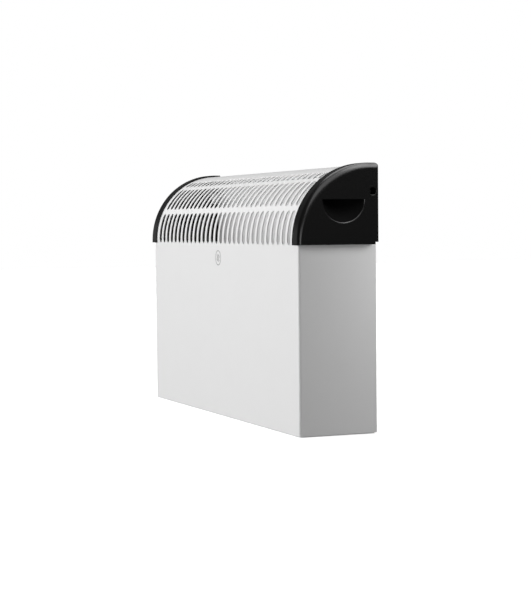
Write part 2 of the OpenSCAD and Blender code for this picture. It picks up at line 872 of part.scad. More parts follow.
module terminal_screws() {
    color("goldenrod")
        for (i = [0:3])
            rod_z(entry_z + 3, block_z - 2, clamp_r, block_first + block_pitch * i,
                block_y + block_depth / 2);
}

// Point on a smooth curve through p[1] and p[2], at t from 0 to 1
function curve_point(p, t) =
    0.5 * (2 * p[1] + t * (p[2] - p[0]) + t * t * (2 * p[0] - 5 * p[1] + 4 * p[2] - p[3])
        + t * t * t * (3 * p[1] - p[0] - 3 * p[2] + p[3]));

// Smooth path through the route's points, with its end points kept
function smooth_path(route, steps) =
    let (n = len(route), p = concat([route[0]], route, [route[n - 1]]))
        [for (i = [0:n - 2], k = [0:steps - 1])
            curve_point([p[i], p[i + 1], p[i + 2], p[i + 3]], k / steps), route[n - 1]];

function unit(v) = v / norm(v);

// Insulated wire of round section, swept through the route's points
module wire(route, r) {
    sides = 8;
    path = smooth_path(route, 5);
    last = len(path) - 1;
    rings = [for (i = [0:last]) let (
            along = unit(path[min(i + 1, last)] - path[max(i - 1, 0)]),
            across = unit(cross(along, [0.31, 0.52, 0.79])),
            up = cross(along, across))
        for (k = [0:sides - 1]) path[i] + r * (across * cos(360 * k / sides) + up * sin(360 * k / sides))];
    walls = [for (i = [0:last - 1], k = [0:sides - 1]) let (j = (k + 1) % sides)
        each [[i * sides + k, i * sides + j, (i + 1) * sides + k],
            [i * sides + j, (i + 1) * sides + j, (i + 1) * sides + k]]];
    start = [for (k = [1:sides - 2]) [0, k + 1, k]];
    end = [for (k = [1:sides - 2]) [last * sides, last * sides + k, last * sides + k + 1]];
    polyhedron(points = rings, faces = concat(walls, start, end));
}

module internal_wires() {
    tab_x = tray_floor + switch_depth + switch_tab;
    blade_x = left_plate_x - element_end - blade_l;
    color("firebrick") {
        // switched feeds to the two elements
        for (i = [0:1])
            wire([[tab_x, -8, rocker_z[i]], [tab_x + 7, -9, rocker_z[i]],
                [tab_x + 9 - 4 * i, -26 - 5 * i, rocker_z[i] + 8], [blade_x - 8, -24, element_heights[i] - 4],
                [blade_x - 7, -4, element_heights[i]], [blade_x - 4, 0, element_heights[i]],
                [blade_x - 0.2, 0, element_heights[i]]], wire_r);
        // feeds from the terminal block to the switches
        for (i = [0:2])
            wire([[tab_x, 8, rocker_z[i]], [tab_x + 6, 10, rocker_z[i]],
                [tab_x + 4 + 5 * i, 30, rocker_z[i] - 14],
                [block_first + block_pitch * i, 40, block_z + 14],
                [block_first + block_pitch * i, 36, entry_z],
                [block_first + block_pitch * i, block_y + block_depth, entry_z]], wire_r);
    }
}

casing();
back_panel();
bottom_grille();
left_end_cap();
right_end_cap();
cap_screws();
back_panel_screws();
cord_gland();
front_heat_shield();
rear_heat_shield();
partition_plate();
right_support();
lower_heating_element();
upper_heating_element();
element_insulators();
element_terminals();
element_hanger();
thermal_cutout();
fan_rear_guide();
fan_tongue();
fan_end_plates();
fan_bearing();
fan_impeller();
fan_shaft();
motor_rotor();
motor_stator();
motor_coil();
motor_straps();
motor_bushes();
motor_bolts();
control_tray();
thermostat_body();
thermostat_nut();
thermostat_spindle();
thermostat_knob();
switch_bodies();
switch_pins();
low_heat_rocker();
high_heat_rocker();
fan_rocker();
indicator_lamp();
terminal_block();
terminal_screws();
internal_wires();
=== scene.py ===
import json
import math

import bmesh
import bpy
from mathutils import Matrix, Vector
from mathutils.geometry import delaunay_2d_cdt


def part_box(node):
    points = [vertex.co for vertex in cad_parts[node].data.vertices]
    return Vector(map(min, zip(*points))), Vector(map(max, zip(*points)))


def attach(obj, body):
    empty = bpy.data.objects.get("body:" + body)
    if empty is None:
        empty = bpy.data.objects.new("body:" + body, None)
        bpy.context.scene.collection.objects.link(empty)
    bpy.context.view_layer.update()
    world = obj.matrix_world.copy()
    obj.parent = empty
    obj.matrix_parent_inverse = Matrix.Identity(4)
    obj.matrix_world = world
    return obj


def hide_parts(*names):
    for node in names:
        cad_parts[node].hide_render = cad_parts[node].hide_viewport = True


# The camera, the studio and the looks of a wall-hung fan convector heater. Metres throughout.

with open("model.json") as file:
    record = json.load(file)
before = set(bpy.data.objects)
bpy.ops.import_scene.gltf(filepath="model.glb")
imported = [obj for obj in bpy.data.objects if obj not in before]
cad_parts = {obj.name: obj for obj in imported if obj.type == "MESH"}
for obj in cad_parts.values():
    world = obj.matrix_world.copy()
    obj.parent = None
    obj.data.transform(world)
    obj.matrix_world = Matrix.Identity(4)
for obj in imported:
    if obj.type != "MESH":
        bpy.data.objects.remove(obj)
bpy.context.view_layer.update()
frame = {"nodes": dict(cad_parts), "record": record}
MM = 0.001

# ---- camera ----

CAMERA_PLACE = (2.5344, -1.0239, 0.3115)
CAMERA_FORWARD = Vector((-0.92360, 0.38062, -0.04565))
CAMERA_UP = Vector((-0.03861, 0.02610, 0.99891))


def make_camera():
    data = bpy.data.cameras.new("camera")
    data.lens = 100
    data.sensor_width = 36
    data.clip_start = 0.05
    data.clip_end = 60
    cam = bpy.data.objects.new("camera", data)
    right = CAMERA_FORWARD.cross(CAMERA_UP).normalized()
    up = right.cross(CAMERA_FORWARD).normalized()
    turn = Matrix((right, up, -CAMERA_FORWARD.normalized())).transposed()
    cam.matrix_world = Matrix.Translation(CAMERA_PLACE) @ turn.to_4x4()
    bpy.context.scene.collection.objects.link(cam)
    bpy.context.scene.camera = cam


make_camera()
bpy.context.scene.view_settings.view_transform = "Standard"

# ---- sizes, worked out from the frame ----

casing_lo, casing_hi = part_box("casing")
cap_lo, cap_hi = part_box("right_end_cap")
tray_lo, tray_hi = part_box("control_tray")
knob_lo, knob_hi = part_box("thermostat_knob")
screw_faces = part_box("back_panel_screws")[1].y

SHEET_T = 1.0 * MM
FRONT_RISE = 5 * MM
CORNER_R = 4.5 * MM
FOLD_R = 1.5 * MM
FLANGE_W = 12 * MM
CORNER_FOOT = 0.3 * MM  # a corner ends this far above the bottom
LIP_GAP = 2 * MM  # above and below a rear lip
REAR_GAP = 4 * MM  # beyond the ends of the top lip and of the sides' folded edges
SCREW_HEAD_T = 1.6 * MM
SLOT_PITCH = 20 * MM
SLOT_W = 12 * MM
SLOT_COLS = 30
SLOT_ROWS = ((1 * MM, 41 * MM), (61 * MM, 97 * MM), (115 * MM, 123 * MM))
CELL_EDGES = (-9 * MM, 51 * MM, 106 * MM, 133 * MM)
SLOT_STEP = 2.5 * MM  # spacing of the vertices along a slot
END_STEP = 3 * MM  # spacing of the vertices past its ends
BAND_COVERS = 8 * MM  # the sheet goes on this far under a cap's band
TOP_STEPS = 16  # over the curve above the last slots
LOW_ROWS = (20 * MM, 60 * MM)  # vertex rows below the tray
TRAY_LIP = 4 * MM

half_w = casing_hi.x
side_h = cap_lo.z
cap_out = cap_hi.x
cap_r = cap_hi.z - cap_lo.z - FRONT_RISE
arc_y = cap_lo.y + cap_r
arc_z = side_h + FRONT_RISE
sheet_r = casing_hi.z - arc_z
front_y = casing_lo.y
rear_y = casing_hi.y
band_in = cap_lo.x
sheet_half = band_in + BAND_COVERS
quarter = sheet_r * math.pi / 2
corner_x = half_w - CORNER_R
corner_y = front_y + CORNER_R
panel_inner_y = screw_faces - SCREW_HEAD_T - SHEET_T
tray_y0, tray_y1 = tray_lo.y + TRAY_LIP, tray_hi.y - TRAY_LIP
tray_z0, tray_z1 = tray_lo.z + TRAY_LIP, tray_hi.z - TRAY_LIP

# ---- mesh helpers ----

MERGE_WITHIN = 0.001 * MM
FLAT_DEGREES = 0.5  # faces that meet at less than this become one


class Skin:
    """Faces gathered by the place of their corners, so that neighbours share vertices."""

    def __init__(self):
        self.index = {}
        self.points = []
        self.faces = []

    def vertex(self, point):
        key = tuple(round(c, 7) for c in Vector(point))
        if key not in self.index:
            self.index[key] = len(self.points)
            self.points.append(tuple(point))
        return self.index[key]

    def face(self, *corners):
        ids = []
        for corner in corners:
            i = self.vertex(corner)
            if i not in ids:
                ids.append(i)
        if len(ids) > 2:
            self.faces.append(ids)

    def grid(self, rows):
        for low, high in zip(rows, rows[1:]):
            for i in range(len(low) - 1):
                self.face(low[i], low[i + 1], high[i + 1], high[i])

    def mesh(self, name):
        data = bpy.data.meshes.new(name)
        data.from_pydata(self.points, [], self.faces)
        data.update()
        return data


def box_faces(skin, lo, hi):
    """The six faces of a box, facing out."""
    (x0, y0, z0), (x1, y1, z1) = lo, hi
    skin.face((x0, y0, z0), (x0, y1, z0), (x1, y1, z0), (x1, y0, z0))
    skin.face((x0, y0, z1), (x1, y0, z1), (x1, y1, z1), (x0, y1, z1))
    skin.face((x0, y0, z0), (x1, y0, z0), (x1, y0, z1), (x0, y0, z1))
    skin.face((x1, y1, z0), (x0, y1, z0), (x0, y1, z1), (x1, y1, z1))
    skin.face((x0, y1, z0), (x0, y0, z0), (x0, y0, z1), (x0, y1, z1))
    skin.face((x1, y0, z0), (x1, y1, z0), (x1, y1, z1), (x1, y0, z1))


def new_object(name, data):
    obj = bpy.data.objects.new(name, data)
    bpy.context.scene.collection.objects.link(obj)
    return obj


def bake_modifiers(obj):
    """Turns the object's modifiers into its mesh."""
    bpy.context.view_layer.update()
    graph = bpy.context.evaluated_depsgraph_get()
    data = bpy.data.meshes.new_from_object(obj.evaluated_get(graph))
    data.name = obj.name
    obj.modifiers.clear()
    obj.data = data


def finish_shape(obj, width, segments, angle, thickness=0.0):
    """Thickens a sheet, rounds the edges, smooths the shading and applies it all."""
    obj.data.shade_smooth()
    if thickness:
        solid = obj.modifiers.new("solid", "SOLIDIFY")
        solid.thickness = thickness
        solid.offset = -1
        solid.use_even_offset = True
    bevel = obj.modifiers.new("bevel", "BEVEL")
    bevel.width = width
    bevel.segments = segments
    bevel.limit_method = "ANGLE"
    bevel.angle_limit = math.radians(angle)
    bevel.use_clamp_overlap = True
    weighted = obj.modifiers.new("normals", "WEIGHTED_NORMAL")
    weighted.keep_sharp = True
    weighted.weight = 60
    bake_modifiers(obj)
    return obj


def join(name, *objects):
    """One object from several, in the order given."""
    whole = bmesh.new()
    for obj in objects:
        whole.from_mesh(obj.data)
    data = bpy.data.meshes.new(name)
    whole.to_mesh(data)
    whole.free()
    for obj in objects:
        bpy.data.objects.remove(obj)
    data.shade_smooth()
    return new_object(name, data)


def mirror(data):
    """Turns a mesh into its own mirror image across the middle."""
    shape = bmesh.new()
    shape.from_mesh(data)
    bmesh.ops.scale(shape, vec=(-1, 1, 1), verts=shape.verts)
    bmesh.ops.reverse_faces(shape, faces=shape.faces)
    shape.to_mesh(data)
    shape.free()


def quarter_turn(steps):
    """Angles from 0 to 90 degrees, in radians."""
    return [math.radians(90 * i / steps) for i in range(steps + 1)]


def inside(point, loop):
    """Is a 2D point inside a closed loop?"""
    hit = False
    for (x0, y0), (x1, y1) in zip(loop, loop[1:] + loop[:1]):
        if (y0 > point[1]) != (y1 > point[1]):
            if point[0] < x0 + (point[1] - y0) * (x1 - x0) / (y1 - y0):
                hit = not hit
    return hit


def fill_flat(skin, outer, holes, place):
    """Triangles between an outer loop and its holes. place() turns a 2D point into its 3D one."""
    points, edges = [], []
    for loop in [outer, *holes]:
        first = len(points)
        points += [Vector(p) for p in loop]
        edges += [(first + i, first + (i + 1) % len(loop)) for i in range(len(loop))]
    verts, _, faces, *_ = delaunay_2d_cdt(points, edges, [], 0, 1e-9)
    for face in faces:
        middle = sum((verts[i] for i in face), Vector((0, 0))) / len(face)
        if inside(middle, outer) and not any(inside(middle, hole) for hole in holes):
            skin.face(*[place(verts[i]) for i in face])


def soft_copy(node, name, width, segments):
    """A copy of a CAD node's shape with merged flats and rounded edges."""
    shape = bmesh.new()
    shape.from_mesh(frame["nodes"][node].data)
    bmesh.ops.remove_doubles(shape, verts=shape.verts, dist=MERGE_WITHIN)
    bmesh.ops.dissolve_limit(
        shape,
        angle_limit=math.radians(FLAT_DEGREES),
        verts=shape.verts,
        edges=shape.edges,
        use_dissolve_boundaries=False,
    )
    data = bpy.data.meshes.new(name)
    shape.to_mesh(data)
    shape.free()
    return finish_shape(new_object(name, data), width, segments, angle=30)


# ---- materials ----


def node_of(tree, kind, **values):
    node = tree.nodes.new(kind)
    for key, value in values.items():
        setattr(node, key, value)
    return node


def make_material(
    name,
    color,
    roughness,
    metallic=0.0,
    specular=0.5,
    vary=0.05,
    vary_scale=25.0,
    grain=900.0,
    bump=0.1,
    bump_height=0.02,
    rough_vary=0.08,
    coat=0.0,
    stretch=(1, 1, 1),
):
    """Base colour and roughness that drift over the surface, with a fine bump. bump_height is in mm."""
    material = bpy.data.materials.new(name)
    material.use_nodes = True
    tree = material.node_tree
    shader = tree.nodes["Principled BSDF"]
    shader.inputs["Metallic"].default_value = metallic
    shader.inputs["Specular IOR Level"].default_value = specular
    shader.inputs["Coat Weight"].default_value = coat
    where = node_of(tree, "ShaderNodeTexCoord")
    scale = node_of(tree, "ShaderNodeMapping")
    scale.inputs["Scale"].default_value = stretch
    tree.links.new(where.outputs["Object"], scale.inputs["Vector"])
    drift = node_of(tree, "ShaderNodeTexNoise")
    drift.inputs["Scale"].default_value = vary_scale
    drift.inputs["Detail"].default_value = 3
    fine = node_of(tree, "ShaderNodeTexNoise")
    fine.inputs["Scale"].default_value = grain
    fine.inputs["Detail"].default_value = 4
    for noise in (drift, fine):
        tree.links.new(scale.outputs["Vector"], noise.inputs["Vector"])
    tint = node_of(tree, "ShaderNodeMix", data_type="RGBA")
    tint.inputs[6].default_value = (*[c * (1 - vary) for c in color], 1)
    tint.inputs[7].default_value = (*[min(1, c * (1 + vary)) for c in color], 1)
    tree.links.new(drift.outputs["Fac"], tint.inputs[0])
    tree.links.new(tint.outputs[2], shader.inputs["Base Color"])
    rough = node_of(tree, "ShaderNodeMapRange")
    rough.inputs["To Min"].default_value = max(0.02, roughness - rough_vary)
    rough.inputs["To Max"].default_value = min(1, roughness + rough_vary)
    tree.links.new(fine.outputs["Fac"], rough.inputs["Value"])
    tree.links.new(rough.outputs["Result"], shader.inputs["Roughness"])
    relief = node_of(tree, "ShaderNodeBump")
    relief.inputs["Strength"].default_value = bump
    relief.inputs["Distance"].default_value = bump_height * MM
    tree.links.new(fine.outputs["Fac"], relief.inputs["Height"])
    tree.links.new(relief.outputs["Normal"], shader.inputs["Normal"])
    return material


white_paint = make_material(
    "white_powder_coat",
    (0.71, 0.71, 0.71),
    0.42,
    vary=0.012,
    grain=700,
    bump=0.25,
    bump_height=0.03,
)
grey_paint = make_material("grey_coated_sheet", (0.68, 0.68, 0.68), 0.5, vary=0.03, grain=600, bump=0.2)
black_plastic = make_material(
    "black_textured_plastic",
    (0.003, 0.003, 0.003),
    0.25,
    specular=0.4,
    rough_vary=0.04,
    grain=1400,
    bump=0.35,
    bump_height=0.05,
)
# painted shade: a darker black with almost no shine, for the shade inside the caps' grip and screw well;
# only the coarser grain is the plastic's own
painted_shade_plastic = make_material(
    "black_coarse_plastic_painted_shade",
    (0.0015, 0.0015, 0.0015),
    0.85,
    specular=0.05,
    grain=700,
    bump=0.5,
    bump_height=0.1,
)
dark_plastic = make_material("dark_smooth_plastic", (0.014, 0.014, 0.014), 0.3, specular=0.4, grain=1000)
zinc = make_material(
    "zinc_plated_steel",
    (0.56, 0.57, 0.58),
    0.33,
    metallic=1,
    vary=0.12,
    vary_scale=90,
    grain=500,
    bump=0.08,
)
fin_metal = make_material(
    "rolled_fins",
    (0.68, 0.68, 0.69),
    0.3,
    metallic=1,
    vary=0.08,
    vary_scale=60,
    stretch=(1, 6, 6),
)
ceramic = make_material("white_ceramic", (0.74, 0.72, 0.66), 0.6, grain=700, bump=0.2)
brass = make_material("brass", (0.70, 0.50, 0.20), 0.28, metallic=1, vary=0.1, grain=700)
winding = make_material(
    "enamelled_winding",
    (0.42, 0.15, 0.05),
    0.3,
    vary=0.15,
    grain=160,
    bump=0.8,
    bump_height=0.4,
    stretch=(12, 0.4, 0.4),
)
lamp_red = make_material(
    "lamp_red", (0.42, 0.015, 0.01), 0.12, specular=0.6, vary=0.1, coat=0.5, bump=0.02
)
wire_sleeve = make_material("wire_sleeve", (0.30, 0.02, 0.015), 0.45, vary=0.08)
rubber = make_material("moulded_rubber", (0.02, 0.02, 0.02), 0.75, specular=0.3, grain=800, bump=0.3)
laminations = make_material(
    "stacked_steel",
    (0.22, 0.23, 0.25),
    0.45,
    metallic=1,
    vary=0.2,
    grain=260,
    bump=0.7,
    bump_height=0.3,
    stretch=(8, 0.3, 0.3),
)
grey_print = make_material("grey_print", (0.22, 0.22, 0.22), 0.5)
white_print = make_material("white_print", (0.75, 0.75, 0.75), 0.5)

SLOT_MATERIALS = {
    "white_steel": white_paint,
    "grey_steel": grey_paint,
    "black_plastic": black_plastic,
    "dark_plastic": dark_plastic,
    "zinc_steel": zinc,
    "fin_metal": fin_metal,
    "white_ceramic": ceramic,
    "brass": brass,
    "copper_winding": winding,
    "lamp_lens": lamp_red,
    "wire_insulation": wire_sleeve,
    "rubber_mount": rubber,
    "motor_laminations": laminations,
}
slot_of = {part["node"]: part["material_slot"] for part in frame["record"]["subparts"]}
for node_name, node_object in frame["nodes"].items():
    node_object.data.materials.clear()
    node_object.data.materials.append(SLOT_MATERIALS[slot_of[node_name]])


def dress(obj, body, slot, material=None):
    """Gives a piece its material, the slot's own unless one is given, and the body that it moves with.
    """
    obj.data.materials.clear()
    obj.data.materials.append(material or SLOT_MATERIALS[slot])
    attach(obj, body)
    return obj


# ---- casing: front, sides and curved grille as one folded sheet ----


def on_sheet(x, s):
    """The place at x and at distance s along the sheet, measured up the front and over the curve."""
    if s <= 0:
        return (x, front_y, arc_z + s)
    if s <= quarter:
        a = s / sheet_r
        return (x, arc_y - sheet_r * math.cos(a), arc_z + sheet_r * math.sin(a))
    return (x, arc_y + s - quarter, arc_z + sheet_r)


def along_slot(row):
    """Even steps up the straight sides of a slot."""
    count = math.ceil((row[1] - row[0]) / SLOT_STEP)
    return [row[0] + (row[1] - row[0]) * j / count for j in range(count + 1)]


def slot_cell(skin, x, row, low, high):
    """The sheet round one slot, from the slot's edge to the edge of its cell."""
    half, wide = SLOT_W / 2, SLOT_PITCH / 2
    near, far = END_STEP, 2 * END_STEP
    thirds = [wide * k / 3 for k in range(-3, 4)]
    slot, cell = [], []

    def add_side(way, steps):
        for s in steps:
            slot.append((way * half, s))
            cell.append((way * wide, s))

    def add_end(centre, start, edges):
        for i, edge in enumerate(edges):
            a = math.radians(start + 180 * (i + 1) / (len(edges) + 1))
            slot.append((half * math.cos(a), centre + half * math.sin(a)))
            cell.append(edge)

    below = [(-wide, row[0] - near), (-wide, row[0] - far)] + [(t, low) for t in thirds]
    below += [(wide, row[0] - far), (wide, row[0] - near)]
    above = [(wide, row[1] + near), (wide, row[1] + far)] + [(-t, high) for t in thirds]
    above += [(-wide, row[1] + far), (-wide, row[1] + near)]
    steps = along_slot(row)
    add_side(-1, reversed(steps))
    add_end(row[0], 180, below)
    add_side(1, steps)
    add_end(row[1], 0, above)
    for i in range(len(slot)):
        j = (i + 1) % len(slot)
        corners = (cell[i], cell[j], slot[j], slot[i])
        skin.face(*[on_sheet(x + u, s) for u, s in corners])


def cell_columns():
    """The x of every column of vertices along the cells' edges."""
    thirds = [k * SLOT_PITCH / 6 for k in range(6)]
    first = -SLOT_COLS / 2 * SLOT_PITCH
    return [first + i * SLOT_PITCH + t for i in range(SLOT_COLS) for t in thirds] + [-first]


def slotted_rows(skin, columns):
    for row, low, high in zip(SLOT_ROWS, CELL_EDGES, CELL_EDGES[1:]):
        for i in range(SLOT_COLS):
            slot_cell(skin, (i - (SLOT_COLS - 1) / 2) * SLOT_PITCH, row, low, high)
        below = [low, row[0] - 2 * END_STEP, row[0] - END_STEP]
        above = [row[1] + END_STEP, row[1] + 2 * END_STEP, high]
        lines = [*below, *along_slot(row), *above]
        for pair in (columns[:2], columns[-2:]):
            skin.grid([[on_sheet(x, s) for x in pair] for s in lines])


def fold_profile():
    """Steps in from the face and up from the bottom, round a folded lower edge."""
    turn = reversed(quarter_turn(4))
    return [(FOLD_R * (1 - math.cos(a)), FOLD_R * (1 - math.sin(a))) for a in turn]


def plain_sheet(skin, columns, heights):
    """The front below the slots, the sheet above them and the front's folded lower edge."""
    skin.grid([[(x, front_y, z) for x in columns] for z in heights])
    top = [CELL_EDGES[-1] + (quarter - CELL_EDGES[-1]) * i / TOP_STEPS for i in range(TOP_STEPS + 1)]
    top += [quarter + (rear_y - arc_y) * i / 2 for i in (1, 2)]
    skin.grid([[on_sheet(x, s) for x in columns] for s in top])
    fold = [(FLANGE_W, 0.0), *fold_profile()]
    skin.grid([[(x, front_y + back, z) for x in columns] for back, z in fold])


def side_sheet(skin, side, heights):
    """A front corner, its side and the side's folded lower edge. The left side is open at the tray."""
    plan = [(side * sheet_half, front_y)]
    for a in quarter_turn(10):
        plan.append((side * (corner_x + CORNER_R * math.sin(a)), corner_y - CORNER_R * math.cos(a)))
    skin.grid([[(x, y, z) for x, y in plan[::side]] for z in [CORNER_FOOT, *heights]])
    depths = [corner_y, tray_y0, tray_y1, rear_y]
    x = side * half_w
    for y0, y1 in zip(depths, depths[1:]):
        for z0, z1 in zip(heights, heights[1:]):
            if side < 0 and y0 == tray_y0 and tray_z0 <= z0 < tray_z1:
                continue
            a, b = (y0, y1)[::side]
            skin.face((x, a, z0), (x, b, z0), (x, b, z1), (x, a, z1))
    ends = (corner_y, rear_y - REAR_GAP)[::side]
    fold = [(FLANGE_W, 0.0), *fold_profile()]
    skin.grid([[(side * (half_w - back), y, z) for y in ends] for back, z in fold])


def rear_lips():
    """The flanges that the back panel is screwed to."""
    skin = Skin()
    lip_y = panel_inner_y - SHEET_T
    for side in (-1, 1):
        xs = sorted((side * (half_w - SHEET_T - FLANGE_W), side * (half_w - SHEET_T / 2)))
        box_faces(skin, (xs[0], lip_y, LIP_GAP), (xs[1], panel_inner_y, side_h - LIP_GAP))
    top_z = casing_hi.z - SHEET_T / 2
    reach = band_in - REAR_GAP
    box_faces(skin, (-reach, lip_y, top_z - FLANGE_W), (reach, panel_inner_y, top_z))
    return new_object("lips", skin.mesh("lips"))


def build_casing():
    skin = Skin()
    tray_mid = (tray_z0 + tray_z1) / 2
    heights = [FOLD_R, *LOW_ROWS, tray_z0, tray_mid, tray_z1, arc_z + CELL_EDGES[0]]
    columns = [-sheet_half, *cell_columns(), sheet_half]
    slotted_rows(skin, columns)
    plain_sheet(skin, columns, heights)
    for side in (-1, 1):
        side_sheet(skin, side, [*heights, side_h])
    sheet = new_object("casing_sheet", skin.mesh("casing_sheet"))
    finish_shape(sheet, width=0.22 * MM, segments=2, angle=40, thickness=SHEET_T)
    return join("casing_shell", sheet, rear_lips())


casing = build_casing()
dress(casing, "heater", "white_steel")
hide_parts("casing")

# ---- end caps ----

CAP_WALL = 2.4 * MM
RIM_DEPTH = 8.5 * MM
RIM_W = (4.5, 19.2, -14.4)  # in mm: at the front, its growth, and how that slows down
LOW_ROUND = 0.6 * MM
REAR_ROUND = 4 * MM
REAR_EDGE_DEPTH = 1.2 * MM
REAR_EDGE_W = 2 * MM
REAR_START_IN = 1.4 * MM  # the rear edge starts this far inside the casing's side
REAR_CORNER_ROOM = 20 * MM  # the rear edge's own vertices stay clear of the corner
INNER_ROUND = 2 * MM
NOTCH_W = 5 * MM
NOTCH_H = 3.5 * MM
LIP_R = 0.9 * MM
GRIP_R = 34 * MM
GRIP_DEPTH = 19 * MM
GRIP_TOP = 346 * MM
GRIP_BACK = 56.6 * MM
GRIP_LIP_DEGREES = 57
GRIP_STEPS = 36
WELL_R = 5.5 * MM
WELL_BACK = 9.1 * MM
WELL_Z = 358 * MM
WELL_LIP_R = 0.72 * MM
WELL_CLEAR = 2 * MM
WELL_SIDES = 40
PANEL_GAP = 0.05 * MM
SCREW_HOLE_R = 2.3 * MM
CAP_SCREW_HEAD_T = 2.4 * MM

grip_y = rear_y - GRIP_BACK
well_y = rear_y - WELL_BACK
well_floor_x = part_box("cap_screws")[1].x - CAP_SCREW_HEAD_T
grip_arc = [math.radians(180 + 180 * i / GRIP_STEPS) for i in range(GRIP_STEPS + 1)]
half_steps = GRIP_STEPS // 2
grip_spans = [GRIP_R * math.cos(math.radians(180 * i / half_steps)) for i in range(half_steps + 1)]


def rim_width(degrees):
    """How far the rounding reaches into the side face: narrow at the front, widest past halfway up."""
    t = degrees / 90
    return (RIM_W[0] + RIM_W[1] * t + RIM_W[2] * t * t) * MM


def cap_loops():
    """Matching points of the cap's outer outline and of its flat face, with depth and band start."""
    rows = []

    def add(outer, inner, deep, start):
        rows.append((outer, inner, deep, start))

    # lower end of the front
    flat_y = cap_lo.y + rim_width(0)
    low = side_h + LOW_ROUND
    add((cap_lo.y, side_h), (flat_y, low), RIM_DEPTH, band_in)
    add((cap_lo.y, side_h + FRONT_RISE / 2), (flat_y, side_h + FRONT_RISE / 2), RIM_DEPTH, band_in)
    # quarter circle
    for degrees in range(0, 91, 2):
        a = math.radians(degrees)
        y, z = math.cos(a), math.sin(a)
        reach = cap_r - rim_width(degrees)
        inner = (arc_y - reach * y, arc_z + reach * z)
        add((arc_y - cap_r * y, arc_z + cap_r * z), inner, RIM_DEPTH, band_in)
    # upper rear corner
    top = arc_z + cap_r
    rear_start = half_w - REAR_START_IN
    centre = (rear_y - REAR_ROUND, top - REAR_ROUND)
    inner_centre = (rear_y - REAR_EDGE_W - INNER_ROUND, top - rim_width(90) - INNER_ROUND)
    for a in quarter_turn(6):
        t = a / math.radians(90)
        y, z = math.sin(a), math.cos(a)
        add(
            (centre[0] + REAR_ROUND * y, centre[1] + REAR_ROUND * z),
            (inner_centre[0] + INNER_ROUND * y, inner_centre[1] + INNER_ROUND * z),
            RIM_DEPTH * (1 - t) + REAR_EDGE_DEPTH * t,
            band_in * (1 - t) + rear_start * t,
        )
    # down the rear edge to the notch at its foot
    notch = side_h + NOTCH_H
    flat_y = rear_y - REAR_EDGE_W
    for t in (0.6, 0.3):
        z = notch + t * (top - side_h - REAR_CORNER_ROOM)
        add((rear_y, z), (flat_y, z), REAR_EDGE_DEPTH, rear_start)
    add((rear_y, notch), (flat_y, notch + LOW_ROUND), REAR_EDGE_DEPTH, rear_start)
    notch_y = rear_y - NOTCH_W
    add((notch_y, notch), (notch_y - LOW_ROUND, notch + LOW_ROUND), LOW_ROUND, rear_start)
    add((notch_y, side_h), (notch_y - LOW_ROUND, low), LOW_ROUND, rear_start)
    # lower edge
    low_start = rear_start - 1 * MM
    for t in (0.675, 0.45, 0.225):
        y = cap_lo.y + rim_width(0) + (rear_y - cap_lo.y) * t
        add((y, side_h), (y, low), LOW_ROUND, low_start)
    return zip(*rows)


def cap_rim(skin):
    """The band over the grille and the rounding to the side face. Gives the side face's outline."""
    outer, inner, deep, start = cap_loops()
    rings = [[(x, y, z) for (y, z), x in zip(outer, start)]]
    for a in quarter_turn(10):
        t = 1 - math.cos(a)
        ring = []
        for (y0, z0), (y1, z1), depth in zip(outer, inner, deep):
            ring.append((cap_out - depth * (1 - math.sin(a)), y0 + (y1 - y0) * t, z0 + (z1 - z0) * t))
        rings.append(ring)
    for near, far in zip(rings, rings[1:]):
        for i in range(len(near)):
            j = (i + 1) % len(near)
            skin.face(near[i], far[i], far[j], near[j])
    return list(inner)


def tube(skin, rings):
    """Joins closed rings of points."""
    for near, far in zip(rings, rings[1:]):
        for i in range(len(near)):
            j = (i + 1) % len(near)
            skin.face(near[i], near[j], far[j], far[i])


def round_lip(skin, wide, tight, radius, degrees):
    """Rounds the edge of a recess in the side face. Gives how deep the rounding ends."""
    end = math.radians(degrees)
    rings = []
    for k in range(6):
        a = end * k / 5
        t = math.sin(a) / math.sin(end)
        x = cap_out - radius * (1 - math.cos(a))
        pairs = zip(wide, tight)
        rings.append([(x, y0 + (y1 - y0) * t, z0 + (z1 - z0) * t) for (y0, z0), (y1, z1) in pairs])
    tube(skin, rings)
    return radius * (1 - math.cos(end))


def grip_loop(margin):
    """The grip's outline, a half circle under a straight top, widened by a margin."""
    r = GRIP_R + margin
    loop = [(grip_y + r * math.cos(a), GRIP_TOP + r * math.sin(a)) for a in grip_arc]
    loop[0] = (grip_y - r, GRIP_TOP + margin)
    loop[-1] = (grip_y + r, GRIP_TOP + margin)
    return loop + [(grip_y + u, GRIP_TOP + margin) for u in grip_spans[1:-1]]


def well_loop(radius):
    """A circle round the screw well's middle."""
    turn = [math.radians(360 * i / WELL_SIDES) for i in range(WELL_SIDES)]
    return [(well_y + radius * math.cos(a), WELL_Z + radius * math.sin(a)) for a in turn]


def cap_scoop(skin, lip):
    """The inside of the grip: a dome's lower half under a flat ceiling."""
    ball_r = (GRIP_R**2 + GRIP_DEPTH**2) / (2 * GRIP_DEPTH)

    def depth(r):
        return max(lip, math.sqrt(ball_r**2 - r * r) - (ball_r - GRIP_DEPTH))

    dome = []
    for r in [*grip_spans[: half_steps // 2], 0.0]:
        x = cap_out - depth(r)
        dome.append([(x, grip_y + r * math.cos(a), GRIP_TOP + r * math.sin(a)) for a in grip_arc])
    skin.grid(dome)
    ceiling = []
    layers = 5
    for k in range(layers + 1):
        steps_in = [lip + (depth(abs(u)) - lip) * k / layers for u in grip_spans]
        ceiling.append([(cap_out - d, grip_y + u, GRIP_TOP) for u, d in zip(grip_spans, steps_in)])
    skin.grid(ceiling)


def cap_well(skin, lip):
    """The inside of the screw well: a tube whose floor has a hole for the screw."""
    middle_x = (cap_out + well_floor_x) / 2
    wall = [(x, WELL_R) for x in (cap_out - lip, middle_x, well_floor_x)]
    hole = (well_floor_x, SCREW_HOLE_R)
    tube(skin, [[(x, y, z) for y, z in well_loop(r)] for x, r in [*wall, hole]])


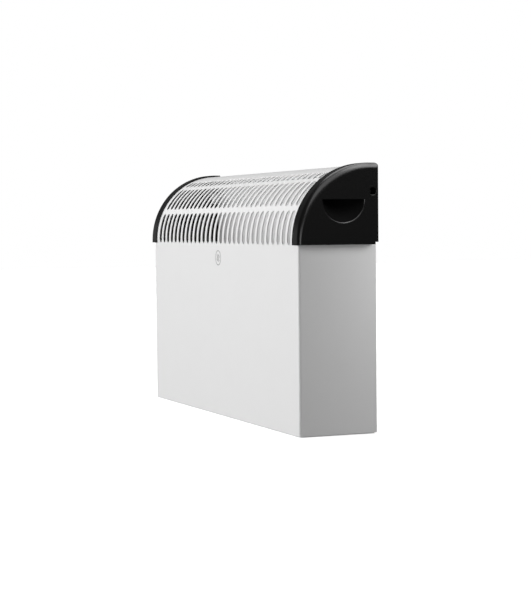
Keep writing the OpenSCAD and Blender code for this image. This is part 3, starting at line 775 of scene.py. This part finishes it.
def build_cap(name, side):
    skin = Skin()
    outline = cap_rim(skin)
    grip_rim = grip_loop(LIP_R)
    well_rim = well_loop(WELL_R + WELL_LIP_R)
    fill_flat(skin, outline, [grip_rim, well_rim], lambda p: (cap_out, p[0], p[1]))
    grip_lip = round_lip(skin, grip_rim, grip_loop(0), LIP_R, GRIP_LIP_DEGREES)
    well_lip = round_lip(skin, well_rim, well_loop(WELL_R), WELL_LIP_R, 90)
    cap_scoop(skin, grip_lip)
    cap_well(skin, well_lip)
    data = skin.mesh(name)
    if side < 0:
        mirror(data)
    cap = new_object(name, data)
    finish_shape(cap, width=0.25 * MM, segments=2, angle=40, thickness=CAP_WALL)
    # the well's wall is flat where the back panel passes it
    for vertex in cap.data.vertices:
        by_well = abs(vertex.co.z - WELL_Z) < WELL_R + CAP_WALL
        by_panel = abs(vertex.co.x) < half_w + WELL_CLEAR and vertex.co.y > panel_inner_y
        if by_well and by_panel:
            vertex.co.y = panel_inner_y - PANEL_GAP
    return cap


right_cap = build_cap("right_cap_shell", 1)
left_cap = build_cap("left_cap_shell", -1)


def coarse_recesses_with_painted_shade(obj):
    """The grip and the well get a coarser, duller grain than the faces round them, and a darker black
    with almost no shine: painted shade for the inside of the recesses.
    """
    obj.data.materials.append(painted_shade_plastic)
    grip = Vector((grip_y, GRIP_TOP))
    well = Vector((well_y, WELL_Z))
    reach = 0.1 * MM
    for face in obj.data.polygons:
        at = Vector((face.center.y, face.center.z))
        in_grip = (at - grip).length < GRIP_R and at.y < GRIP_TOP + reach
        in_well = (at - well).length < WELL_R + reach
        if abs(face.center.x) < cap_out - LIP_R and (in_grip or in_well):
            face.material_index = 1


for cap, node in ((right_cap, "right_end_cap"), (left_cap, "left_end_cap")):
    dress(cap, "heater", "black_plastic")
    coarse_recesses_with_painted_shade(cap)
    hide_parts(node)

# ---- softened copies of smaller parts ----

# body, width of the rounding in mm, and its segments
SOFT = {
    "control_tray": ("heater", 0.5, 3),
    "switch_bodies": ("heater", 0.3, 2),
    "back_panel": ("heater", 0.2, 2),
    "bottom_grille": ("heater", 0.2, 2),
    "cord_gland": ("heater", 0.4, 2),
    "thermostat_nut": ("heater", 0.25, 2),
    "low_heat_rocker": ("low_heat_key", 0.5, 3),
    "high_heat_rocker": ("high_heat_key", 0.5, 3),
    "fan_rocker": ("fan_key", 0.5, 3),
    "thermostat_knob": ("knob", 0.5, 3),
}
for node, (body, width, segments) in SOFT.items():
    copy = soft_copy(node, node + "_soft", width * MM, segments)
    dress(copy, body, slot_of[node])
    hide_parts(node)
back_panel = bpy.data.objects["back_panel_soft"]

# ---- printed and inlaid marks ----

PRINT_H = 0.12 * MM
EMBLEM_AT = (-2 * MM, 257 * MM)
EMBLEM_R = 11.6 * MM
EMBLEM_RING_W = 1.2 * MM
WAVE_PITCH = 4 * MM
WAVE_SWING = 1.3 * MM
WAVE_HALVES = (6.5 * MM, 5.3 * MM)  # half the height of the middle wave and of its neighbours
WAVE_W = 1.4 * MM
DIAL_BAND_R = 21.4 * MM
DIAL_BAND_DEGREES = (82, -172)
TICKS = 7
TICK_DEGREES = 45
TICK_W = 0.9 * MM
TICK_START_R = 22.4 * MM
TICK_END_R = 24.4 * MM
POINTER_ENDS = (5.4 * MM, 15.6 * MM)
POINTER_W = 1.2 * MM
GROOVE_DEPTH = 0.5 * MM
SIGNS_RIGHT = 22.5 * MM
SIGN_HALF = 3.2 * MM
SIGN_W = 1.1 * MM
BAR_SHIFT = 1.4 * MM
FAN_HUB_R = 0.9 * MM
FAN_LINE_W = 0.7 * MM
BLADE_OUT = 2.6 * MM
BLADE_R = 1.5 * MM
ROCKER_REACH = 9 * MM
ROCKER_SIGN_OUT = 6 * MM
ROCKER_BAR_HALF = 2.1 * MM
ROCKER_BAR_W = 0.8 * MM
ROCKER_RING_R = 1.9 * MM
ROCKER_RING_W = 0.7 * MM


def raised_line(skin, points, width, place, closed=False):
    """A thin raised line through 2D points. place(u, v, height) gives the 3D place."""
    count = len(points)
    left, right = [], []
    for i, point in enumerate(points):
        before = points[(i - 1) % count if closed else max(i - 1, 0)]
        after = points[(i + 1) % count if closed else min(i + 1, count - 1)]
        way = (Vector(after) - Vector(before)).normalized()
        wide = width(i / (count - 1)) / 2 if callable(width) else width / 2
        across = Vector((-way.y, way.x)) * wide
        left.append(Vector(point) + across)
        right.append(Vector(point) - across)
    last = count if closed else count - 1
    for i in range(last):
        j = (i + 1) % count
        low = [place(*p, 0) for p in (left[i], left[j], right[j], right[i])]
        high = [place(*p, PRINT_H) for p in (left[i], left[j], right[j], right[i])]
        skin.face(*high)
        skin.face(*reversed(low))
        skin.face(low[0], low[1], high[1], high[0])
        skin.face(low[2], low[3], high[3], high[2])
        if not closed and i == 0:
            skin.face(low[3], low[0], high[0], high[3])
        if not closed and i == last - 1:
            skin.face(low[1], low[2], high[2], high[1])


def arc_points(u, v, r, start, end, steps=24):
    """Points on an arc round (u, v), with angles in degrees."""
    turn = [math.radians(start + (end - start) * i / steps) for i in range(steps + 1)]
    return [(u + r * math.cos(a), v + r * math.sin(a)) for a in turn]


def marks(name, body, slot, material, draw):
    """One piece made of raised lines. draw(skin) adds them."""
    skin = Skin()
    draw(skin)
    data = skin.mesh(name)
    shape = bmesh.new()
    shape.from_mesh(data)
    bmesh.ops.recalc_face_normals(shape, faces=shape.faces)
    shape.to_mesh(data)
    shape.free()
    return dress(new_object(name, data), body, slot, material)


def on_front(u, v, height):
    return (u, front_y - height, v)


def draw_emblem(skin):
    """A plain ring with three rising waves of warm air."""
    u, v = EMBLEM_AT
    ring = arc_points(u, v, EMBLEM_R, 0, 360, 64)[:-1]
    raised_line(skin, ring, EMBLEM_RING_W, on_front, closed=True)
    steps = [-1 + 2 * i / 20 for i in range(21)]
    for k in (-1, 0, 1):
        half = WAVE_HALVES[abs(k)]
        middle = u + WAVE_PITCH * k
        wave = [(middle + WAVE_SWING * math.sin(math.pi * 1.5 * t), v + half * t) for t in steps]
        raised_line(skin, wave, WAVE_W, on_front)


tray_floor = tray_hi.x - 2 * MM
knob_at = (0, (knob_lo.z + knob_hi.z) / 2)


def on_tray(u, v, height):
    """The tray's floor as seen from the heater's left: u to the right, v up."""
    return (tray_floor - height, -u, v)


def dial_band_width(t):
    """The band widens with the heat."""
    return (0.25 + 0.9 * t) * MM


def draw_dial(skin):
    """Ticks over the knob's turn, each a little longer than the last, and a band inside them."""
    u, v = knob_at
    for k in range(TICKS):
        a = math.radians(90 - TICK_DEGREES * k)
        reach = (TICK_START_R, TICK_END_R + 0.3 * k * MM)
        tick = [(u + r * math.cos(a), v + r * math.sin(a)) for r in reach]
        raised_line(skin, tick, TICK_W, on_tray)
    band = arc_points(u, v, DIAL_BAND_R, *DIAL_BAND_DEGREES, 60)
    raised_line(skin, band, dial_band_width, on_tray)


def rocker_row(node):
    low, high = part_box(node)
    return (low.z + high.z) / 2


def draw_switch_signs(skin):
    """One bar for half heat, two for full heat, and a fan."""
    u = SIGNS_RIGHT
    for node, bars in (("low_heat_rocker", (0,)), ("high_heat_rocker", (-BAR_SHIFT, BAR_SHIFT))):
        v = rocker_row(node)
        for shift in bars:
            bar = [(u + shift, v - SIGN_HALF), (u + shift, v + SIGN_HALF)]
            raised_line(skin, bar, SIGN_W, on_tray)
    v = rocker_row("fan_rocker")
    hub = arc_points(u, v, FAN_HUB_R, 0, 360, 16)[:-1]
    raised_line(skin, hub, FAN_LINE_W, on_tray, closed=True)
    for k in range(3):
        degrees = 90 + 120 * k
        a = math.radians(degrees)
        middle = (u + BLADE_OUT * math.cos(a), v + BLADE_OUT * math.sin(a))
        blade = arc_points(*middle, BLADE_R, degrees - 170, degrees + 130, 14)
        raised_line(skin, blade, FAN_LINE_W, on_tray)


def on_knob(u, v, height):
    """The floor of the groove in the knob's grip, seen as on_tray sees the tray."""
    return (knob_lo.x + GROOVE_DEPTH - height, -u, v)


def draw_pointer(skin):
    u, v = knob_at
    raised_line(skin, [(u, v + end) for end in POINTER_ENDS], POINTER_W, on_knob)


def draw_rocker_signs(node, hinge):
    """A ring on one half of the rocker's face and a bar on the other."""
    joints = frame["record"]["behaviour"]["joints"]
    joint = next(entry for entry in joints if entry["name"] == hinge)
    pin_x, _, v = joint["pos_m"]
    pressed = math.radians(-joint["range_deg"][1])

    def on_face(a):
        """A place on the half of the face that stands turned by a from the upright."""

        def at(u, v, height):
            x = -ROCKER_REACH - height
            return (pin_x + x * math.cos(a) - u * math.sin(a), x * math.sin(a) + u * math.cos(a), v)

        return at

    def draw(skin):
        bar = [(-ROCKER_SIGN_OUT, v - ROCKER_BAR_HALF), (-ROCKER_SIGN_OUT, v + ROCKER_BAR_HALF)]
        raised_line(skin, bar, ROCKER_BAR_W, on_face(pressed))
        ring = arc_points(ROCKER_SIGN_OUT, v, ROCKER_RING_R, 0, 360, 20)[:-1]
        raised_line(skin, ring, ROCKER_RING_W, on_face(0), closed=True)

    return draw


marks("front_emblem", "heater", "grey_steel", grey_print, draw_emblem)
marks("dial_print", "heater", "white_steel", white_print, draw_dial)
marks("switch_signs", "heater", "white_steel", white_print, draw_switch_signs)
marks("knob_pointer", "knob", "white_steel", white_print, draw_pointer)
for node, body, hinge in (
    ("low_heat_rocker", "low_heat_key", "low_heat_rock"),
    ("high_heat_rocker", "high_heat_key", "high_heat_rock"),
    ("fan_rocker", "fan_key", "fan_switch_rock"),
):
    marks(node + "_signs", body, "white_steel", white_print, draw_rocker_signs(node, hinge))

# ---- studio ----

BACKDROP_WAY = Vector((-0.92, 0.38, -0.03)).normalized()


def make_floor():
    x0, x1, y0, y1 = -9, 1.5, -2.5, 7
    data = bpy.data.meshes.new("floor")
    data.from_pydata([(x0, y0, 0), (x1, y0, 0), (x1, y1, 0), (x0, y1, 0)], [], [(0, 1, 2, 3)])
    floor = new_object("floor", data)
    pale = make_material(
        "pale_floor",
        (0.93, 0.93, 0.93),
        0.9,
        specular=0.1,
        vary=0.01,
        vary_scale=2,
        grain=60,
        bump=0.02,
    )
    shader = pale.node_tree.nodes["Principled BSDF"]
    shader.inputs["Emission Color"].default_value = (1, 1, 1, 1)
    shader.inputs["Emission Strength"].default_value = 0.6
    floor.data.materials.append(pale)
    floor.visible_diffuse = False
    floor.visible_glossy = False


def area_light(name, spot, target, size, power, only=(), never=(), shaded=True):
    """A softbox. It lights only some objects, or all but some. Not shaded, nothing is in its way."""
    data = bpy.data.lights.new(name, "AREA")
    data.shape = "RECTANGLE"
    data.size, data.size_y = size
    data.energy = power
    light = new_object(name, data)
    light.location = spot
    light.visible_camera = False
    light.rotation_mode = "QUATERNION"
    light.rotation_quaternion = (Vector(target) - Vector(spot)).to_track_quat("-Z", "Y")
    if only or never:
        lit = bpy.data.collections.new(name + "_lights")
        for obj in (*only, *never):
            lit.objects.link(obj)
        light.light_linking.receiver_collection = lit
        for link in lit.collection_objects:
            link.light_linking.link_state = "EXCLUDE" if never else "INCLUDE"
    if not shaded:
        light.light_linking.blocker_collection = bpy.data.collections.new(name + "_blockers")


def sun_light(name, strength, spread, way):
    data = bpy.data.lights.new(name, "SUN")
    data.energy = strength
    data.angle = math.radians(spread)
    light = new_object(name, data)
    light.rotation_mode = "QUATERNION"
    light.rotation_quaternion = Vector(way).to_track_quat("-Z", "Y")


def make_world():
    """White to the camera. As light it is dim, and a little brighter towards the backdrop."""
    world = bpy.data.worlds.new("studio")
    bpy.context.scene.world = world
    world.use_nodes = True
    tree = world.node_tree
    where = node_of(tree, "ShaderNodeTexCoord")
    facing = node_of(tree, "ShaderNodeVectorMath", operation="DOT_PRODUCT")
    facing.inputs[1].default_value = BACKDROP_WAY
    tree.links.new(where.outputs["Generated"], facing.inputs[0])
    room = node_of(tree, "ShaderNodeMapRange")
    room.inputs["From Min"].default_value, room.inputs["From Max"].default_value = (-1, 1)
    room.inputs["To Min"].default_value, room.inputs["To Max"].default_value = (0.06, 0.1)
    tree.links.new(facing.outputs["Value"], room.inputs["Value"])
    seen = node_of(tree, "ShaderNodeLightPath")
    total = node_of(tree, "ShaderNodeMath", operation="MAXIMUM")
    tree.links.new(room.outputs["Result"], total.inputs[0])
    tree.links.new(seen.outputs["Is Camera Ray"], total.inputs[1])
    tree.links.new(total.outputs["Value"], tree.nodes["Background"].inputs["Strength"])
    tree.nodes["Background"].inputs["Color"].default_value = (1, 1, 1, 1)


make_floor()
make_world()
caps = (right_cap, left_cap)
back_names = ("back_panel_soft", "cord_gland_soft", "back_panel_screws", "internal_wires")
back_pieces = [bpy.data.objects[name] for name in back_names]
sun_light("overhead", 2.1, 50, (0.25, -0.1, -1))
area_light("key", (-0.4, -2.6, 0.6), (0, 0, 0.25), (3.6, 2.2), 122, never=caps)
area_light("cap_front", (1.65, -1.25, 0.28), (0.33, -0.05, 0.33), (1.9, 0.8), 15, only=caps)
area_light("cap_left", (-2.2, -1.15, 0.25), (0.33, -0.06, 0.33), (1.6, 0.9), 0.8, only=caps)
area_light("cap_wide", (1.5, -0.2, 1.75), (0.33, 0, 0.38), (2.0, 1.6), 23, only=caps)
area_light("cap_sheen", (1.15, 0.82, 1.72), (0.33, 0, 0.38), (1.1, 1.7), 36, only=caps)
area_light("rear_fill", (0.52, 0.33, 0.42), (0.32, 0.02, 0.25), (0.12, 0.2), 1.1, only=(casing,))
area_light("side_fill", (1.3, 1.1, 0.1), (0.32, 0, 0.1), (0.8, 0.8), 3.0, only=(casing,))
area_light("floor_bounce", (0.75, 0.15, 0.01), (0.32, 0.02, 0.03), (0.5, 0.5), 0.5, only=(casing,))
area_light(
    "through_grille",
    (0.6, -0.9, 0.9),
    (0, 0.06, 0.32),
    (0.8, 0.8),
    5.5,
    only=(back_panel,),
    shaded=False,
)
area_light("back_soft", (-0.5, 2.4, 0.9), (0, 0, 0.2), (3.2, 2.0), 75, only=back_pieces)
area_light("under_grille", (0, 0.0, 0.33), (0, 0.03, 0.4), (0.58, 0.05), 0.2, only=(casing,))
